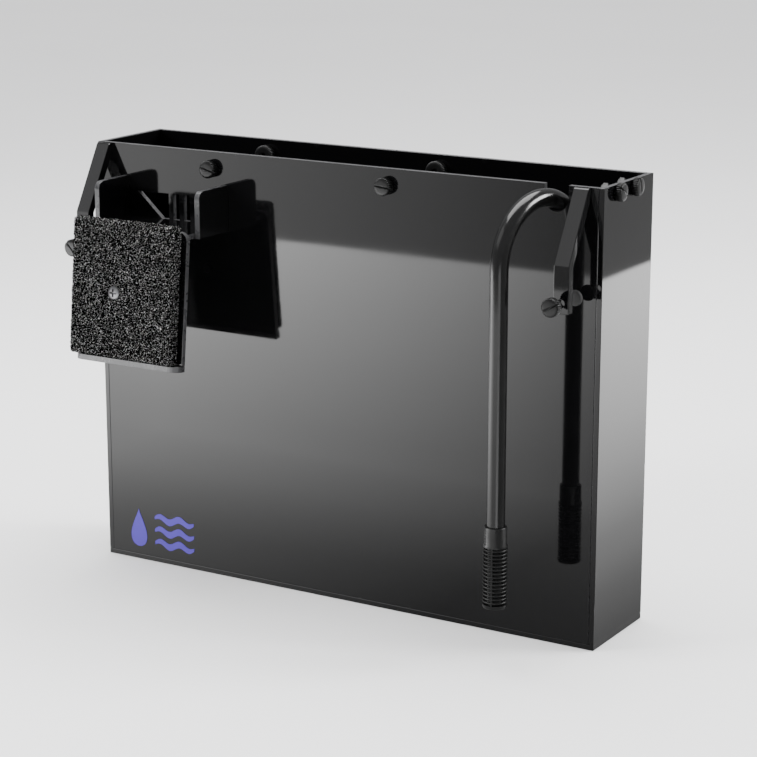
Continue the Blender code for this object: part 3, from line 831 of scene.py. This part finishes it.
def card(name, foot, out, width, far_width, reach, height, stops, tilt=((0, 1), (1, 1))):
    """A sweep of light seen only in gloss: a strip on the floor from foot, then an upright.

    stops are (way along the sweep, strength). tilt is (place across, factor) at two places.
    """
    foot, out = Vector(foot), Vector(out)
    across = Vector((0, 0, 1)).cross(out)
    points = []
    for way, up, ends in ((0, 0, width), (reach, 0, far_width), (reach, height, far_width)):
        lift = Vector((0, 0, max(up, 0.0004)))
        points += [foot + out * way + across * u + lift for u in ends]
    mesh = bpy.data.meshes.new(name)
    mesh.from_pydata(points, [], [[0, 1, 3, 2], [2, 3, 5, 4]])
    made = show(name, mesh)

    s = Shader(name)
    length = reach + height
    up_and_out = out + Vector((0, 0, 1))
    start = foot.dot(up_and_out)
    share = s.span(s.along(up_and_out), start, start + length)
    ramp = s.add("ShaderNodeValToRGB", Fac=share)
    top = max(value for _, value in stops)
    elements = ramp.color_ramp.elements
    elements[0].position = stops[0][0] / length
    elements[-1].position = stops[-1][0] / length
    for place, _ in stops[1:-1]:
        elements.new(place / length)
    for element, (_, value) in zip(elements, stops):
        element.color = (value / top,) * 3 + (1,)
    middle = foot.dot(across)
    (left, left_factor), (right, right_factor) = tilt
    factor = s.span(s.along(across), middle + left, middle + right, left_factor, right_factor)
    strength = s.combine("MULTIPLY", factor, top)
    glow = s.add("ShaderNodeEmission", Color=ramp.outputs["Color"], Strength=strength)
    s.tree.links.new(glow.outputs[0], s.tree.nodes["Material Output"].inputs["Surface"])
    mesh.materials.append(s.material)
    for kind in ("camera", "diffuse", "shadow", "transmission", "volume_scatter"):
        setattr(made, "visible_" + kind, False)


def ground():
    """The pale floor."""
    reach = 8.0
    mesh = bpy.data.meshes.new("floor")
    corners = [(-reach, -reach), (reach, -reach), (reach, reach), (-reach, reach)]
    mesh.from_pydata([(x, y, -0.0002) for x, y in corners], [], [[0, 1, 2, 3]])
    floor = show("floor", mesh)
    s = Shader("pale floor")
    tone = s.blend(s.noise(1.2, 2), (0.82, 0.82, 0.825), (0.88, 0.88, 0.885))
    mesh.materials.append(s.finish(Base_Color=tone, Roughness=0.7))


def lights():
    """A pale world, a broad sun and four soft lights."""
    world = bpy.data.worlds.new("studio")
    world.use_nodes = True
    background = world.node_tree.nodes["Background"]
    background.inputs["Color"].default_value = (0.9, 0.9, 0.92, 1)
    background.inputs["Strength"].default_value = 0.5
    bpy.context.scene.world = world

    area("overhead", (-0.2, 0.3, 2.0), (0, 0.1, 0.2), (2.0, 1.4), 60)
    area("soft key", (-1.1, -1.37, 1.73), (0, 0, 0.2), (1.8, 1.1), 6)
    area("right fill", (2.6, 1.6, 1.5), (0.9, 0.8, 0.0), (1.2, 1.2), 130)
    soft = area("front fill", (-1.7, -1.9, 1.3), (-0.2, 0, 0.25), (0.7, 0.7), 80)
    soft.visible_glossy = False
    sun = show("sky", bpy.data.lights.new("sky", "SUN"))
    sun.data.energy = 3.8
    sun.data.angle = math.radians(100)
    sun.rotation_euler = (math.radians(-20), math.radians(25), 0)
    sun.visible_glossy = False


def cards():
    """The gradients that the gloss walls show: one card for the front and two for the right side."""
    wall = size_of("front_panel")[0].y
    front_stops = [(0.0, 1.5), (0.10, 1.8), (0.184, 2.3), (0.275, 2.9), (0.376, 3.3), (0.42, 3.8)]
    front_stops += [(0.493, 5.0), (0.566, 6.4), (0.627, 7.8), (0.63, 1.6), (0.726, 1.7)]
    front = (-0.9, 0.35)
    tilt = ((-0.487, 1.45), (0.1, 0.3))
    card("front card", (0, wall, 0), (0, -1, 0), front, front, 0.386, 0.34, front_stops, tilt)

    side = size_of("right_side_panel")[1].x
    reach = 0.0975
    side_stops = [(0.0, 0.55), (0.0604, 0.95), (0.1227, 1.6), (0.1787, 2.7), (0.2345, 3.9)]
    side_stops += [(0.29, 4.9), (0.346, 5.8), (0.378, 6.0), (0.380, 0.6), (0.497, 0.55)]
    card("side card", (side, 0, 0), (1, 0, 0), (-0.055, 0.34), (0.15, 0.34), reach, 0.40, side_stops)
    dim_stops = [(0.0, 0.35), (0.40, 0.35)]
    dim = (-0.25, 0.149)
    card("dark card", (side + reach, 0, 0), (1, 0, 0), dim, dim, 0.0001, 0.40, dim_stops)


def camera():
    """The photo's angle, from a fit of the box's corners."""
    made = show("camera", bpy.data.cameras.new("camera"))
    made.data.lens = LENS
    made.data.sensor_width = SENSOR
    made.location = CAMERA_PLACE
    made.rotation_euler = Vector(CAMERA_WAY).to_track_quat("-Z", "Y").to_euler()
    bpy.context.scene.camera = made


for node, slot in SLOTS.items():
    if slot in BEVELS:
        dress(node, BEVELS[slot])

for side, turn in (("left", 0.25), ("right", 0.1)):
    thumbscrew(f"{side}_tie_screw", (0, 1, 0), FACE_HEAD_H, turn)
    tie_boss(f"{side}_tie_boss")
for side, turn in (("left", 0.8), ("right", -0.5)):
    thumbscrew(f"{side}_clamp_screw", (0, 1, 0), FACE_HEAD_H, turn)
    clamp_pad(f"{side}_clamp_pad")
for end, turn in (("front", 0.6), ("rear", 1.3)):
    thumbscrew(f"{end}_wall_screw", (-1, 0, 0), WALL_HEAD_H, turn)
    hex_nut(f"{end}_wall_nut", (1, 0, 0), WALL_NUT, SHANK_R + SHANK_CLEARANCE, "nylon")
foam_screw()
inner_leg = intake_tube()
strainer()
suction_hose(inner_leg)
foam_pad()
filter_sponge()
ceramic_rings()
emblem()
ground()
lights()
cards()
camera()
